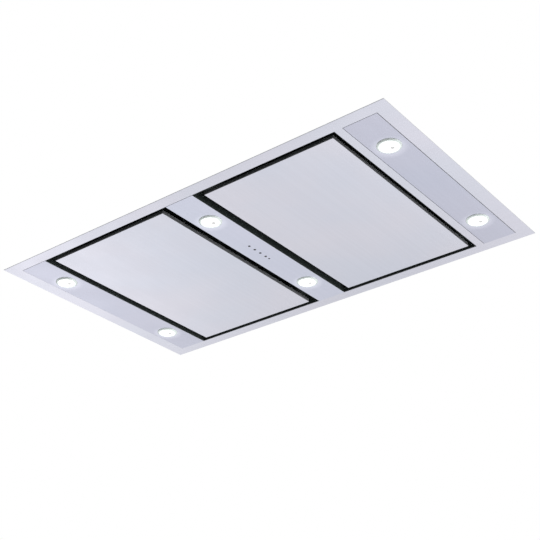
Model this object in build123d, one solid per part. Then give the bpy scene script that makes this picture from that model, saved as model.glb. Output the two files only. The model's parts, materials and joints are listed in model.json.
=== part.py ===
"""Ceiling range hood with perimeter suction: a steel face with two hinged panels, and its case above.

The origin is the centre of the ceiling plane, on which the flange lies. X runs along the hood, Y across
it, and Z up into the ceiling. All sizes are millimetres.
"""

from build123d import *
from collections import namedtuple
import math
import os

# ---------------------------------------------------------------- driving dimensions

# Sheet metal
sheet = 1.2  # strips, panels, suction frames and case
fold = 0.9  # outside radius where sheet is folded
flange_thickness = 2.0
frame_wall = 1.5  # walls that the flange and the lip bar turn up into
edge_round = 0.6  # broken edge of the flange

# Face, as it is seen from below
margin_x = 37.5  # flange, from its outer edge to the light strips
margin_y = 33.0  # flange, from its outer edge to the openings
left_strip_width = 87.0
control_strip_width = 85.0
right_strip_width = 89.5
lip_bar_width = 21.0  # bar of the flange between the right panel and its strip
left_panel_width = 382.0
right_panel_width = 372.0
panel_length = 602.0
gap_x = 24.0  # suction gap along a panel's long sides
gap_control = 25.5  # suction gap between the control strip and the right panel
gap_lip = 15.0  # suction gap beside the lip bar
gap_y = 16.0  # suction gap at a panel's ends
face_step = 1.2  # panels stand this far below the flange's face
strip_step = 0.4  # strips stand this far below the flange's face
strip_depth = 20.0  # height of a strip's turned-up edges
seam = 0.6  # joint line along a strip
end_seam = 0.2  # joint line at a strip's ends
lip_seam = 1.0  # joint line between the lip bar and its strip
outer_seam = 1.1  # joint line between that strip and the flange
running_gap = 0.3  # between a moving piece and its seat
past = 1.0  # cutters reach this far past what they cut

# Panels: an outer tray and an inner liner
panel_depth = 10.0
liner_sheet = 0.8
liner_top = 0.4  # the liner stops this far below the tray's rim
hinge_inset = 8.0  # pivot, from the panel's edge
hinge_rise = 20.0  # pivot, above the panel's face
hinge_spacing = 440.0
pin_radius = 2.5
pin_clearance = 0.05
knuckle_radius = 6.0
ear_thickness = 2.0
ear_gap = 0.4
pin_head = 1.5
leaf_thickness = 3.0
leaf_foot_sheet = 1.5
leaf_foot_reach = 25.0
leaf_foot_back = 5.0
leaf_foot_width = 20.0
bracket_sheet = 2.0
bracket_reach = 18.0
bracket_margin = 4.0  # of the foot, beside its ears
swing_room = 6.0  # between an open panel's edge and the ledge above it
magnet_width = 16.0
magnet_length = 40.0
magnet_round = 2.0
magnet_inset = 6.0
magnet_spacing = 400.0
magnet_air = 0.4

# Grease filters
filter_lap = 12.0  # width of filter that lies on its ledge
filter_thickness = 10.0
filter_rim = 14.0
filter_rim_wall = 1.5
filter_side_play = 1.0
seat_rim_height = 6.0
ledge_spare = 4.0
strap_width = 24.0
handle_length = 70.0
handle_width = 12.0
handle_thickness = 2.5
handle_drop = 12.0

# Lamps
lamp_spacing = 402.0
lamp_shift = 1.5  # of both rows, from the face's middle
bezel_radius = 29.0
bezel_depth = 3.6
bezel_foot = 0.6  # upright edge on the strip
bezel_crown = 24.2  # radius where the sloping flank ends
bezel_bulge = 0.3  # of the flank
bezel_cone = 0.6  # bevel round the lens
bezel_lip = 0.4
lens_radius = 22.4
lens_thickness = 3.0
lens_dome = 0.6
neck_wall = 2.0
neck_height = 8.0
neck_clearance = 0.3
part_clearance = 0.05  # lens in its bezel, shaft in its bore
heat_sink_radius = 29.0
heat_sink_height = 28.0
fin_count = 5
fin_thickness = 2.0

# Push buttons and the small eye beside them
button_count = 4
button_pitch = 22.6
first_button_y = -44.9
button_offset = -2.2  # of the row of buttons, from the strip's middle
button_radius = 3.2
button_play = 0.3
button_proud = 0.6
button_travel = 1.2
button_collar = 1.5
button_collar_thickness = 1.0
button_stem = 0.7
eye_offset = 15.0
eye_radius = 2.7
eye_collar = 1.0
switch_size = 6.0
switch_height = 3.5
switch_air = 0.1
board_thickness = 1.6
housing_wall = 2.0
housing_width = 40.0
housing_margin = 16.0

# Case in the ceiling void
frame_wall_height = 50.0
plenum_height = 110.0  # ceiling plane to the underside of the plenum's top
lid_lip = 12.0
bead_count = 3
bead_width = 16.0
bead_height = 2.5
pad_inset = 45.0  # raised pad in the middle of the blower cover's top
screw_radius = 1.8
screw_head_radius = 4.0
screw_head_height = 2.4
screw_recess_depth = 1.6
screw_grip = 5.0
screw_play = 0.1
lid_screws_x = 6
lid_screws_y = 4
lid_screw_inset = 60.0
cover_screws_side = 4
cover_screw_inset = 20.0
hanger_inset_x = 100.0
hanger_inset_y = 60.0
hanger_rise = 30.0
hanger_leg = 36.0
hanger_width = 44.0
hanger_sheet = 2.0
hanger_hole_radius = 4.5  # for an M8 rod

# Blower and outlet
duct_radius = 75.0
duct_wall = 1.2
duct_length = 80.0
collar_rim = 12.0
collar_foot = 16.0
collar_sheet = 1.5
collar_margin = 2.0  # between the collar's rim and the top of the cover
wheel_radius = 118.0
wheel_headroom = 38.0
wheel_gap = 4.0  # between the inlet ring and the wheel
blade_inset = 2.0
blade_depth = 20.0
blade_thickness = 1.2
blade_count = 32
blade_sweep = 9.0  # degrees from a blade's inner to its outer edge
wheel_ring = 3.0
ring_overlap = 4.0  # of the rings, past the blades' inner edges
disc_thickness = 2.0
disc_hole_count = 8  # they let air into the upper cage
disc_hole_radius = 15.0
disc_hole_place = 72.0
hub_radius = 12.0
hub_height = 18.0
shaft_radius = 5.0
shaft_fit = 0.02
scroll_clearance = 16.0
tongue_radius = 12.0
tongue_lead = 24.0
mouth_length = 41.0
mouth_margin = 2.0  # the mouth is this much larger than the duct
cover_gap = 8.0
cover_foot = 16.0
inlet_wall = 1.2
inlet_overlap = 26.0
inlet_flange = 16.0
inlet_rise = 9.0
motor_gap = 4.0
motor_radius = 52.0
motor_round = 5.0
motor_flange = 8.0
motor_flange_thickness = 3.0
motor_bore_depth = 60.0
motor_rib_count = 12
motor_rib_width = 3.0
motor_rib_height = 3.0
motor_rib_start = 10.0

# Non-return flaps
flap_thickness = 1.0
flap_play = 1.3
flap_pin_radius = 1.5
flap_knuckle_radius = 3.2
flap_knuckle_length = 18.0
flap_knuckle_step = 19.0
flap_web = 0.5  # between the knuckles and the half disc
flap_seat = 8.0  # pin, from the collar's flange

# Mains box on top of the plenum
box_length = 180.0
box_width = 120.0
box_height = 52.0
box_wall = 1.5
box_distance = 40.0
box_lip = 4.0  # the lid's lip reaches this far down
capacitor_radius = 15.0
capacitor_length = 70.0
capacitor_round = 1.5
capacitor_inset = 6.0
capacitor_start = 20.0
terminal_length = 48.0
terminal_width = 20.0
terminal_height = 18.0
terminal_count = 3
terminal_hole_radius = 3.0
terminal_hole_depth = 6.0
terminal_inset = 12.0
terminal_end = 30.0
gland_bore_radius = 4.2
gland_thread_radius = 8.0
gland_head_radius = 11.0
gland_length = 22.0
gland_nut = 5.0
gland_taper = 3.0

# ---------------------------------------------------------------- places worked out from them

# Openings of the face: each runs from x0 to x1 across the whole frame. side is +1 where the panel
# reaches towards +X from its hinge, and -1 where it reaches towards -X.
Bay = namedtuple("Bay", "x0 x1 panel_x0 panel_x1 side")

length = (
    2 * margin_x
    + left_strip_width
    + left_panel_width
    + control_strip_width
    + right_panel_width
    + 2 * gap_x
    + gap_control
    + gap_lip
    + lip_bar_width
    + right_strip_width
)
width = panel_length + 2 * gap_y + 2 * margin_y

frame_x0 = -length / 2 + margin_x
frame_x1 = length / 2 - margin_x
frame_y0 = -width / 2 + margin_y
frame_y1 = width / 2 - margin_y

left_x0 = frame_x0 + left_strip_width
left_panel_x0 = left_x0 + gap_x
left_panel_x1 = left_panel_x0 + left_panel_width
left_x1 = left_panel_x1 + gap_x
right_x0 = left_x1 + control_strip_width
right_panel_x0 = right_x0 + gap_control
right_panel_x1 = right_panel_x0 + right_panel_width
right_x1 = right_panel_x1 + gap_lip
lip_x1 = right_x1 + lip_bar_width
bays = {
    "left": Bay(left_x0, left_x1, left_panel_x0, left_panel_x1, -1),
    "right": Bay(right_x0, right_x1, right_panel_x0, right_panel_x1, 1),
}

flange_z = -flange_thickness
face_z = flange_z - face_step  # underside of the panels
panel_back = face_z + sheet
strip_z = flange_z - strip_step  # underside of the strips
strip_back = strip_z + sheet
liner_z = face_z + panel_depth - liner_top  # upper face of the panels' liners
pivot_z = face_z + hinge_rise
ledge_z = pivot_z + hinge_inset + swing_room
ledge_top = ledge_z + sheet
ledge_width = gap_x + magnet_inset + magnet_width + ledge_spare
filter_z = ledge_top + running_gap

strips = {
    "left": (frame_x0 + seam, left_x0),
    "middle": (left_x1, right_x0),
    "right": (lip_x1 + lip_seam, frame_x1 - outer_seam),
}
lamp_xs = {place: (x0 + x1) / 2 for place, (x0, x1) in strips.items()}
lamp_ys = {"near": lamp_shift - lamp_spacing / 2, "far": lamp_shift + lamp_spacing / 2}
lamp_places = {f"{i}_{j}": (x, y) for i, x in lamp_xs.items() for j, y in lamp_ys.items()}
control_x = lamp_xs["middle"] + button_offset
button_ys = [first_button_y + button_pitch * i for i in range(button_count)]
eye_y = button_ys[-1] + eye_offset
collar_z0 = strip_back + running_gap  # lower face of a button's collar
collar_z1 = collar_z0 + button_collar_thickness
stem_top = collar_z1 + button_stem
switch_z = stem_top + button_travel + switch_air
board_z = switch_z + switch_height
housing_top = board_z + board_thickness + 3 * housing_wall

plate_z = plenum_height + sheet  # upper face of the plenum's top
duct_z = plate_z + collar_foot + duct_radius
blower_height = collar_foot + 2 * duct_radius + mouth_margin
scroll_top_z = plate_z + blower_height
collar_top_z = duct_z + duct_radius + collar_rim
cover_top_z = max(collar_top_z + collar_margin, scroll_top_z + sheet + cover_gap) + sheet

# The scroll is three quarter arcs, each larger by scroll_step than the one before, and a straight mouth
arc_1 = wheel_radius + scroll_clearance
mouth_width = 2 * duct_radius + mouth_margin
scroll_step = (mouth_width + tongue_radius + tongue_lead - arc_1) / 3
arc_2 = arc_1 + scroll_step
arc_3 = arc_2 + scroll_step
scroll_east = arc_3 + scroll_step  # from the wheel's axis to the mouth's outer wall
mouth_west = scroll_east - mouth_width
mouth_north = arc_1 + mouth_length
cover_east = scroll_east + sheet + cover_gap
cover_west = -(arc_1 + sheet + cover_gap)
cover_south = -(arc_2 + sheet + cover_gap)
cover_north = mouth_north
wheel_x = -(cover_east + cover_west) / 2
wheel_y = -(cover_north + cover_south) / 2
duct_x = wheel_x + (scroll_east + mouth_west) / 2
cover_face_y = wheel_y + cover_north + sheet  # outer face of the wall that carries the outlet
inlet_radius = wheel_radius - inlet_overlap
inlet_top = plate_z + inlet_rise
wheel_z0 = inlet_top + wheel_gap
wheel_z1 = wheel_z0 + blower_height - wheel_headroom
disc_z = (wheel_z0 + wheel_z1) / 2
hub_z0 = disc_z - hub_height / 2
motor_z0 = disc_z + hub_height / 2 + motor_gap
box_x0 = wheel_x + cover_east + cover_foot + box_distance
box_x1 = box_x0 + box_length
hanger_x = frame_x1 - hanger_inset_x
hanger_y = frame_y1 - hanger_inset_y

parts = {}


# ---------------------------------------------------------------- shapes that several pieces use


def block(x0, x1, y0, y1, z0, z1):
    """A rectangular block between six planes."""
    return Pos((x0 + x1) / 2, (y0 + y1) / 2, (z0 + z1) / 2) * Box(x1 - x0, y1 - y0, z1 - z0)


def rod(x, y, z0, z1, radius):
    """An upright cylinder."""
    return Pos(x, y, (z0 + z1) / 2) * Cylinder(radius, z1 - z0)


def rod_y(x, z, y0, y1, radius):
    """A cylinder along Y."""
    return Pos(x, (y0 + y1) / 2, z) * Rot(90, 0, 0) * Cylinder(radius, y1 - y0)


def rod_x(y, z, x0, x1, radius):
    """A cylinder along X."""
    return Pos((x0 + x1) / 2, y, z) * Rot(0, 90, 0) * Cylinder(radius, x1 - x0)


def turned(outline):
    """A solid of revolution about Z, from a closed outline of (radius, height)."""
    return revolve(Plane.XZ * make_face(outline.edges()), Axis.Z)


def lowest_edges(shape):
    """The edges of a shape's lowest face."""
    return shape.edges().group_by(Axis.Z)[0]


def folded():
    """The sheet's outside radius at a fold, which is never as large as its thickness."""
    return min(fold, 0.9 * sheet)


Screw = namedtuple("Screw", "place direction")  # place is under the head, direction points into the part


def screw_solid(screw):
    """A pan-head screw."""
    head = Pos(0, 0, -screw_head_height / 2) * Cylinder(screw_head_radius, screw_head_height)
    head = fillet(lowest_edges(head), 0.6 * screw_head_height)
    slot = Box(0.45 * screw_head_radius, screw_head_radius, screw_recess_depth)
    recess = Pos(0, 0, -screw_head_height) * (slot + Rot(0, 0, 90) * slot)
    shank = Pos(0, 0, screw_grip / 2) * Cylinder(screw_radius, screw_grip)
    return Plane(origin=screw.place, z_dir=screw.direction) * (head - recess + shank)


def screw_holes(screws):
    """What the screws' clearance holes take out of the sheets that they join."""
    hole = Cylinder(screw_radius + screw_play, 2 * screw_grip)
    return [Plane(origin=s.place, z_dir=s.direction) * hole for s in screws]


def spread(low, high, count):
    """Places from low to high at equal steps."""
    return [low + (high - low) * i / (count - 1) for i in range(count)]


# ---------------------------------------------------------------- face: frame, strips and suction frames


def make_face_frame():
    """The flange, the walls it turns up into, and the lip bar between the right panel and its strip."""
    flange = block(-length / 2, length / 2, -width / 2, width / 2, flange_z, 0)
    walls = block(
        frame_x0 - frame_wall,
        frame_x1 + frame_wall,
        frame_y0 - frame_wall,
        frame_y1 + frame_wall,
        flange_z,
        frame_wall_height,
    )
    opening = block(
        frame_x0, frame_x1, frame_y0, frame_y1, flange_z - past, frame_wall_height + past
    )
    bar = block(right_x1, lip_x1, frame_y0, frame_y1, flange_z, strip_depth)
    trough = block(
        right_x1 + frame_wall, lip_x1 - frame_wall, frame_y0, frame_y1, 0, strip_depth + past
    )
    frame = flange + walls - opening + (bar - trough)
    return fillet(lowest_edges(frame), edge_round)


def make_strip(ends, holes):
    """A strip of the face: sheet with both long edges turned up, and holes of (x, y, radius)."""
    x0, x1 = ends
    y0 = frame_y0 + end_seam
    y1 = frame_y1 - end_seam
    top = strip_z + strip_depth
    strip = block(x0, x1, y0, y1, strip_z, top)
    strip -= block(x0 + sheet, x1 - sheet, y0 - past, y1 + past, strip_back, top + past)
    strip = fillet(lowest_edges(strip).filter_by(Axis.Y), folded())
    for x, y, radius in holes:
        strip -= rod(x, y, strip_z - past, strip_back + past, radius)
    return strip


def make_suction_frame(bay):
    """The black lining of an opening: four walls, and the ledge that carries the filter."""
    low = strip_back
    lining = block(bay.x0, bay.x1, frame_y0, frame_y1, low, ledge_top)
    inside = block(
        bay.x0 + sheet, bay.x1 - sheet, frame_y0 + sheet, frame_y1 - sheet, low - past, ledge_z
    )
    window = block(
        bay.x0 + ledge_width,
        bay.x1 - ledge_width,
        frame_y0 + ledge_width,
        frame_y1 - ledge_width,
        low - past,
        ledge_top + past,
    )
    seat = ledge_width - filter_lap - filter_side_play
    rim_out = block(
        bay.x0 + seat - sheet,
        bay.x1 - seat + sheet,
        frame_y0 + seat - sheet,
        frame_y1 - seat + sheet,
        ledge_z,
        ledge_top + seat_rim_height,
    )
    rim_in = block(
        bay.x0 + seat,
        bay.x1 - seat,
        frame_y0 + seat,
        frame_y1 - seat,
        ledge_top,
        ledge_top + seat_rim_height + past,
    )
    return lining + rim_out - inside - window - rim_in


def make_face_pieces():
    """Every fixed piece of the face."""
    parts["face_frame"] = make_face_frame()
    lamp_hole = bezel_neck_radius() + neck_clearance
    lamps = {i: [(x, y, lamp_hole) for y in lamp_ys.values()] for i, x in lamp_xs.items()}
    buttons = [(control_x, y, button_radius + button_play) for y in button_ys]
    eye = (control_x, eye_y, eye_radius + pin_clearance)
    parts["light_strip_left"] = make_strip(strips["left"], lamps["left"])
    parts["control_strip"] = make_strip(strips["middle"], lamps["middle"] + buttons + [eye])
    parts["light_strip_right"] = make_strip(strips["right"], lamps["right"])
    for side, bay in bays.items():
        parts[f"suction_frame_{side}"] = make_suction_frame(bay)


# ---------------------------------------------------------------- panels, hinges and magnets


def pivot_x(bay):
    """Where the panel's hinge axis lies."""
    edge = bay.panel_x0 if bay.side > 0 else bay.panel_x1
    return edge + bay.side * hinge_inset


def span(a, b):
    """Two places in rising order."""
    return min(a, b), max(a, b)


def make_panel(bay):
    """A panel's outer tray, folded from steel sheet."""
    y0 = frame_y0 + gap_y
    y1 = frame_y1 - gap_y
    top = face_z + panel_depth
    tray = block(bay.panel_x0, bay.panel_x1, y0, y1, face_z, top)
    tray = fillet(tray.edges().filter_by(Axis.Z), folded())
    tray = fillet(lowest_edges(tray), folded() / 2)
    tray -= block(
        bay.panel_x0 + sheet, bay.panel_x1 - sheet, y0 + sheet, y1 - sheet, panel_back, top + past
    )
    return tray


def make_liner(bay):
    """A panel's inner liner, which stands in the tray with its open side down."""
    x0 = bay.panel_x0 + sheet + part_clearance
    x1 = bay.panel_x1 - sheet - part_clearance
    y0 = frame_y0 + gap_y + sheet + part_clearance
    y1 = frame_y1 - gap_y - sheet - part_clearance
    liner = block(x0, x1, y0, y1, panel_back, liner_z)
    liner -= block(
        x0 + liner_sheet,
        x1 - liner_sheet,
        y0 + liner_sheet,
        y1 - liner_sheet,
        panel_back - past,
        liner_z - liner_sheet,
    )
    return liner


def make_leaf(bay, y):
    """The half of a hinge that is fixed to the panel's liner."""
    x = pivot_x(bay)
    x0, x1 = span(x - bay.side * leaf_foot_back, x + bay.side * leaf_foot_reach)
    foot = leaf_foot_width / 2
    leaf = block(x0, x1, y - foot, y + foot, liner_z, liner_z + leaf_foot_sheet)
    half = leaf_thickness / 2
    leaf += block(x - knuckle_radius, x + knuckle_radius, y - half, y + half, liner_z, pivot_z)
    leaf += rod_y(x, pivot_z, y - half, y + half, knuckle_radius)
    return leaf - rod_y(x, pivot_z, y - foot, y + foot, pin_radius + pin_clearance)


def make_bracket(bay, y):
    """The half of a hinge that hangs from the ledge: a foot and two ears."""
    x = pivot_x(bay)
    outer = leaf_thickness / 2 + ear_gap + ear_thickness
    foot = outer + bracket_margin
    x0, x1 = span(x - bay.side * knuckle_radius, x + bay.side * bracket_reach)
    bracket = block(x0, x1, y - foot, y + foot, ledge_z - bracket_sheet, ledge_z)
    for side in (-1, 1):
        near, far = span(y + side * (outer - ear_thickness), y + side * outer)
        bracket += block(x - knuckle_radius, x + knuckle_radius, near, far, pivot_z, ledge_z)
        bracket += rod_y(x, pivot_z, near, far, knuckle_radius)
    return bracket - rod_y(x, pivot_z, y - foot, y + foot, pin_radius + pin_clearance)


def make_hinge_pin(bay, y):
    """A pin with a head at each end."""
    x = pivot_x(bay)
    reach = leaf_thickness / 2 + ear_gap + ear_thickness + part_clearance
    pin = rod_y(x, pivot_z, y - reach, y + reach, pin_radius)
    pin += rod_y(x, pivot_z, y - reach - pin_head, y - reach, 1.5 * pin_radius)
    return pin + rod_y(x, pivot_z, y + reach, y + reach + pin_head, 1.5 * pin_radius)


def make_magnet(bay, y):
    """A magnet in its housing, which hangs from the ledge and holds the panel's free side shut."""
    edge = bay.panel_x1 if bay.side > 0 else bay.panel_x0
    x0, x1 = span(edge - bay.side * (magnet_inset + magnet_width), edge - bay.side * magnet_inset)
    half = magnet_length / 2
    magnet = block(x0, x1, y - half, y + half, liner_z + magnet_air, ledge_z)
    return fillet(magnet.edges().filter_by(Axis.Z), magnet_round)


def make_panels():
    """Both panels with what carries them."""
    hinge_ys = (-hinge_spacing / 2, hinge_spacing / 2)
    magnet_ys = (-magnet_spacing / 2, magnet_spacing / 2)
    for side, bay in bays.items():
        parts[f"panel_{side}"] = make_panel(bay)
        parts[f"panel_liner_{side}"] = make_liner(bay)
        parts[f"hinge_leaves_{side}"] = Compound([make_leaf(bay, y) for y in hinge_ys])
    places = [(bay, y) for bay in bays.values() for y in hinge_ys]
    parts["hinge_brackets"] = Compound([make_bracket(bay, y) for bay, y in places])
    parts["hinge_pins"] = Compound([make_hinge_pin(bay, y) for bay, y in places])
    places = [(bay, y) for bay in bays.values() for y in magnet_ys]
    parts["catch_magnets"] = Compound([make_magnet(bay, y) for bay, y in places])


# ---------------------------------------------------------------- grease filters


def make_filter(bay):
    """A filter's channel frame with its pull handle, and the mesh that it holds."""
    inset = ledge_width - filter_lap
    x0, x1 = bay.x0 + inset, bay.x1 - inset
    y0, y1 = frame_y0 + inset, frame_y1 - inset
    top = filter_z + filter_thickness
    wall = filter_rim_wall
    mesh = block(x0 + wall, x1 - wall, y0 + wall, y1 - wall, filter_z + wall, top - wall)
    window = block(
        x0 + filter_rim,
        x1 - filter_rim,
        y0 + filter_rim,
        y1 - filter_rim,
        filter_z - past,
        top + past,
    )
    frame = block(x0, x1, y0, y1, filter_z, top) - mesh - window
    middle = (x0 + x1) / 2
    half = strap_width / 2
    frame += block(x0 + wall, x1 - wall, -half, half, filter_z, filter_z + wall)
    grip = handle_length / 2
    side_y = handle_width / 2
    low = filter_z - handle_drop
    for side in (-1, 1):
        near, far = span(middle + side * (grip - handle_thickness), middle + side * grip)
        frame += block(near, far, -side_y, side_y, low, filter_z + wall)
    frame += block(middle - grip, middle + grip, -side_y, side_y, low - handle_thickness, low)
    return frame, mesh


def make_filters():
    """Both grease filters."""
    for side, bay in bays.items():
        frame, mesh = make_filter(bay)
        parts[f"filter_frame_{side}"] = frame
        parts[f"filter_mesh_{side}"] = mesh


# ---------------------------------------------------------------- lamps


def bezel_neck_radius():
    """Outside radius of the neck that goes through the strip."""
    return lens_radius + neck_wall


def make_bezel():
    """A lamp's ring: a sloping flank below the strip, a crown, and a neck through the strip."""
    neck = bezel_neck_radius()
    low = strip_z - bezel_depth
    foot = strip_z - bezel_foot
    bevel = lens_radius + bezel_cone
    flank = ((bezel_radius + bezel_crown) / 2 + bezel_bulge, (foot + low) / 2 - bezel_bulge)
    return turned(
        Line((neck, strip_z), (bezel_radius, strip_z))
        + Line((bezel_radius, strip_z), (bezel_radius, foot))
        + ThreePointArc((bezel_radius, foot), flank, (bezel_crown, low))
        + Line((bezel_crown, low), (bevel, low))
        + Line((bevel, low), (lens_radius, low + bezel_lip))
        + Line((lens_radius, low + bezel_lip), (lens_radius, strip_z + neck_height))
        + Line((lens_radius, strip_z + neck_height), (neck, strip_z + neck_height))
        + Line((neck, strip_z + neck_height), (neck, strip_z))
    )


def make_lens():
    """A frosted lens, slightly domed, and the height of its flat back."""
    radius = lens_radius - part_clearance
    edge = strip_z - bezel_depth + bezel_lip + lens_dome
    middle = edge - lens_dome
    top = edge + lens_thickness
    lens = turned(
        ThreePointArc((-radius, edge), (0, middle), (radius, edge)).trim(0.5, 1)
        + Line((radius, edge), (radius, top))
        + Line((radius, top), (0, top))
        + Line((0, top), (0, middle))
    )
    return lens, top


def make_heat_sink(plug_z):
    """A finned aluminium body that stands on the bezel's neck and holds the lamp's board."""
    base = strip_z + neck_height
    top = base + heat_sink_height
    sink = rod(0, 0, plug_z, base, lens_radius - part_clearance)
    sink += rod(0, 0, base, top, 0.6 * heat_sink_radius)
    step = (heat_sink_height - fin_thickness) / (fin_count - 1)
    for i in range(fin_count):
        z = base + step * i
        sink += rod(0, 0, z, z + fin_thickness, heat_sink_radius)
    return sink


def make_lamps():
    """The six lamps."""
    bezel = make_bezel()
    lens, lens_top = make_lens()
    sink = make_heat_sink(lens_top)
    sinks = []
    for name, (x, y) in lamp_places.items():
        parts[f"lamp_bezel_{name}"] = Pos(x, y, 0) * bezel
        parts[f"lamp_lens_{name}"] = Pos(x, y, 0) * lens
        sinks.append(Pos(x, y, 0) * sink)
    parts["lamp_heat_sinks"] = Compound(sinks)


# ---------------------------------------------------------------- push buttons


def make_button(y):
    """A push button: its cap shows below the strip, and its collar keeps it in."""
    cap = rod(control_x, y, strip_z - button_proud, collar_z0, button_radius)
    cap = fillet(lowest_edges(cap), 0.8 * button_proud)
    collar = rod(control_x, y, collar_z0, collar_z1, button_radius + button_collar)
    stem = rod(control_x, y, collar_z1, stem_top, 0.6 * button_radius)
    return cap + collar + stem


def make_controls():
    """The buttons, the small eye, and the board and housing behind them."""
    for i, y in enumerate(button_ys):
        parts[f"push_button_{i + 1}"] = make_button(y)
    eye = rod(control_x, eye_y, strip_z - 0.5 * button_proud, strip_back, eye_radius)
    eye = fillet(lowest_edges(eye), 0.4 * button_proud)
    collar = strip_back + eye_collar
    eye += rod(control_x, eye_y, strip_back, collar, eye_radius + eye_collar)
    eye += rod(control_x, eye_y, collar, board_z, 0.6 * eye_radius)
    parts["receiver_eye"] = eye
    y0 = button_ys[0] - housing_margin
    y1 = eye_y + housing_margin
    x0 = control_x - housing_width / 2
    x1 = control_x + housing_width / 2
    wall = housing_wall
    housing = block(x0, x1, y0, y1, strip_back, housing_top)
    housing = fillet(housing.edges().filter_by(Axis.Z), 1.5 * wall)
    room = block(x0 + wall, x1 - wall, y0 + wall, y1 - wall, strip_back - past, housing_top - wall)
    parts["control_housing"] = housing - room
    parts["control_board"] = block(
        x0 + wall, x1 - wall, y0 + wall, y1 - wall, board_z, board_z + board_thickness
    )
    half = switch_size / 2
    parts["tact_switches"] = Compound(
        [
            block(control_x - half, control_x + half, y - half, y + half, switch_z, board_z)
            for y in button_ys
        ]
    )


# ---------------------------------------------------------------- case


def lid_screws():
    """Screws through the lid's turned-down edge into the plenum's walls."""
    z = plenum_height - lid_lip / 2
    x = frame_x1 + sheet
    y = frame_y1 + sheet
    xs = spread(frame_x0 + lid_screw_inset, frame_x1 - lid_screw_inset, lid_screws_x)
    ys = spread(frame_y0 + lid_screw_inset, frame_y1 - lid_screw_inset, lid_screws_y)
    screws = [Screw((a, side * y, z), (0, -side, 0)) for a in xs for side in (-1, 1)]
    return screws + [Screw((side * x, b, z), (-side, 0, 0)) for b in ys for side in (-1, 1)]


def cover_screws():
    """Screws through the blower cover's feet."""
    x0 = wheel_x + cover_west - sheet - cover_foot / 2
    x1 = wheel_x + cover_east + sheet + cover_foot / 2
    y0 = wheel_y + cover_south - sheet - cover_foot / 2
    y1 = cover_face_y + cover_foot / 2
    xs = spread(x0 + cover_screw_inset, x1 - cover_screw_inset, cover_screws_side)
    ys = spread(y0 + cover_screw_inset, y1 - cover_screw_inset, cover_screws_side)
    places = [(a, y0) for a in xs] + [(a, y1) for a in xs]
    places += [(x0, b) for b in ys] + [(x1, b) for b in ys]
    return [Screw((x, y, plate_z + sheet), (0, 0, -1)) for x, y in places]


def hanger_places():
    """The four hanger brackets: their rod's place, and the side that their foot points to."""
    return [(x, y, 1 if x > 0 else -1) for x in (-hanger_x, hanger_x) for y in (-hanger_y, hanger_y)]


def hanger_screws():
    """Two screws through each hanger bracket's foot."""
    screws = []
    for x, y, side in hanger_places():
        for step in (-1, 1):
            place = (x - side * hanger_leg, y + step * hanger_width / 4, plate_z + hanger_sheet)
            screws.append(Screw(place, (0, 0, -1)))
    return screws


def collar_screws():
    """Screws through the outlet collar's rim."""
    reach = duct_radius + collar_rim / 2
    y = cover_face_y + collar_sheet
    angles = [45, 135, 225, 315]
    return [
        Screw(
            (
                duct_x + reach * math.cos(math.radians(a)),
                y,
                duct_z + reach * math.sin(math.radians(a)),
            ),
            (0, -1, 0),
        )
        for a in angles
    ]


def make_bead(x):
    """A stiffening bead pressed up out of the lid, along Y."""
    half = bead_width / 2
    y1 = hanger_y - hanger_width / 2 - 2 * bead_width
    bead = block(x - half, x + half, -y1, y1, plate_z - 0.5 * sheet, plate_z + bead_height)
    bead = fillet(bead.edges().filter_by(Axis.Z), 0.98 * half)
    return fillet(bead.edges().group_by(Axis.Z)[-1], 0.8 * bead_height)


def make_hanger(x, y, side):
    """A hanger bracket of folded strip: a foot, a web, and a raised shelf with the rod's hole."""
    half = hanger_width / 2
    t = hanger_sheet
    top = plate_z + hanger_rise
    web = x - side * hanger_leg / 2
    a0, a1 = span(web, web - side * hanger_leg)
    b0, b1 = span(web, x + side * hanger_leg / 2)
    w0, w1 = span(web, web + side * t)
    bracket = block(min(a0, w0), max(a1, w1), y - half, y + half, plate_z, plate_z + t)
    bracket += block(w0, w1, y - half, y + half, plate_z, top)
    bracket += block(b0, b1, y - half, y + half, top - t, top)
    return bracket - rod(x, y, top - t - past, top + past, hanger_hole_radius)


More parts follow.
